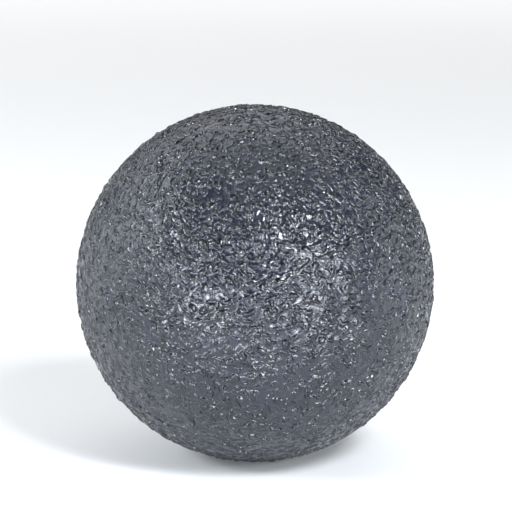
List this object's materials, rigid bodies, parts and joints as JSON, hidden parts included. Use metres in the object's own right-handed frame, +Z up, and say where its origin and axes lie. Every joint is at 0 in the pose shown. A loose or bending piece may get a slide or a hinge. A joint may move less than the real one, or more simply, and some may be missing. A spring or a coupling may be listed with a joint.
{
  "type": "friction ball for opening watch cases",
  "caption": "Soft grained gel ball whose tacky skin grips a screw-on watch case back so that it can be turned by hand.",
  "frame": {"origin": "centre of the small flat on which the soft ball settles, on the surface it lies on", "axes": "+Z up from the surface through the ball's centre; the moulding axis leans towards -X and a little towards +Y, as the ball happens to lie"},
  "size_m": [0.06, 0.06, 0.0596],
  "materials": {
    "grip_skin": "glossy tacky grain, slightly translucent",
    "bond_elastomer": "satin",
    "soft_gel": "wet gloss, cloudy",
    "plug_elastomer": "satin, fine moulded texture"
  },
  "bodies": {
    "root": {"upper_grip_shell": "grip_skin", "lower_grip_shell": "grip_skin", "seam_bond_ring": "bond_elastomer", "gel_core": "soft_gel", "fill_plug": "plug_elastomer"}
  },
  "joints": []
}
